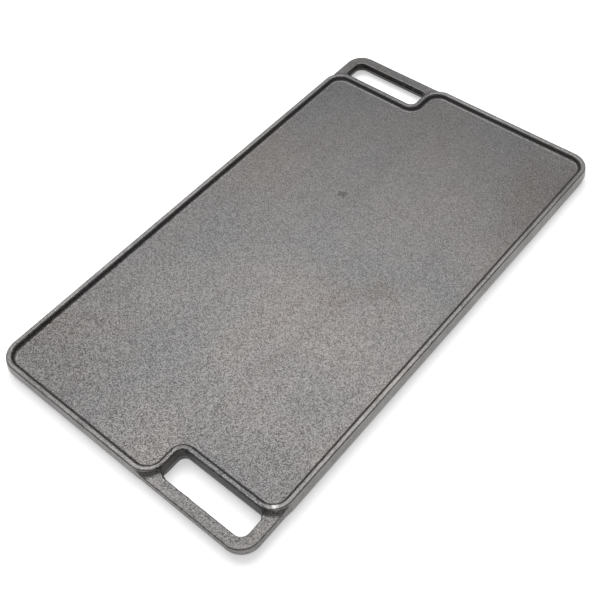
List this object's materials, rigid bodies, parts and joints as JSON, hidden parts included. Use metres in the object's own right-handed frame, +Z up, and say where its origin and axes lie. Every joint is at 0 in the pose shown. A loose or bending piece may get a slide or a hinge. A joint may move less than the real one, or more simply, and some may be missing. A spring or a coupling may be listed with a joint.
{
  "type": "reversible griddle plate",
  "caption": "Flat rectangular cast iron griddle plate with a raised rim round both sides, a flat cooking side, a ridged grill side and slotted handles at opposite corners.",
  "frame": {"origin": "centre of the resting plane, under the rim of the grill side", "axes": "+Z up out of the flat cooking side, +Y along the plate; seen from above with +Y up the page, the handles are at the lower right and the upper left"},
  "size_m": [0.259, 0.457, 0.015],
  "materials": {
    "seasoned_iron": "as-cast, seasoned, with a fine sand grain and a low sheen"
  },
  "bodies": {
    "root": {"griddle_plate": "seasoned_iron", "flat_side_rim": "seasoned_iron", "grill_side_rim": "seasoned_iron", "near_handle": "seasoned_iron", "far_handle": "seasoned_iron", "grill_ridges": "seasoned_iron"}
  },
  "joints": []
}
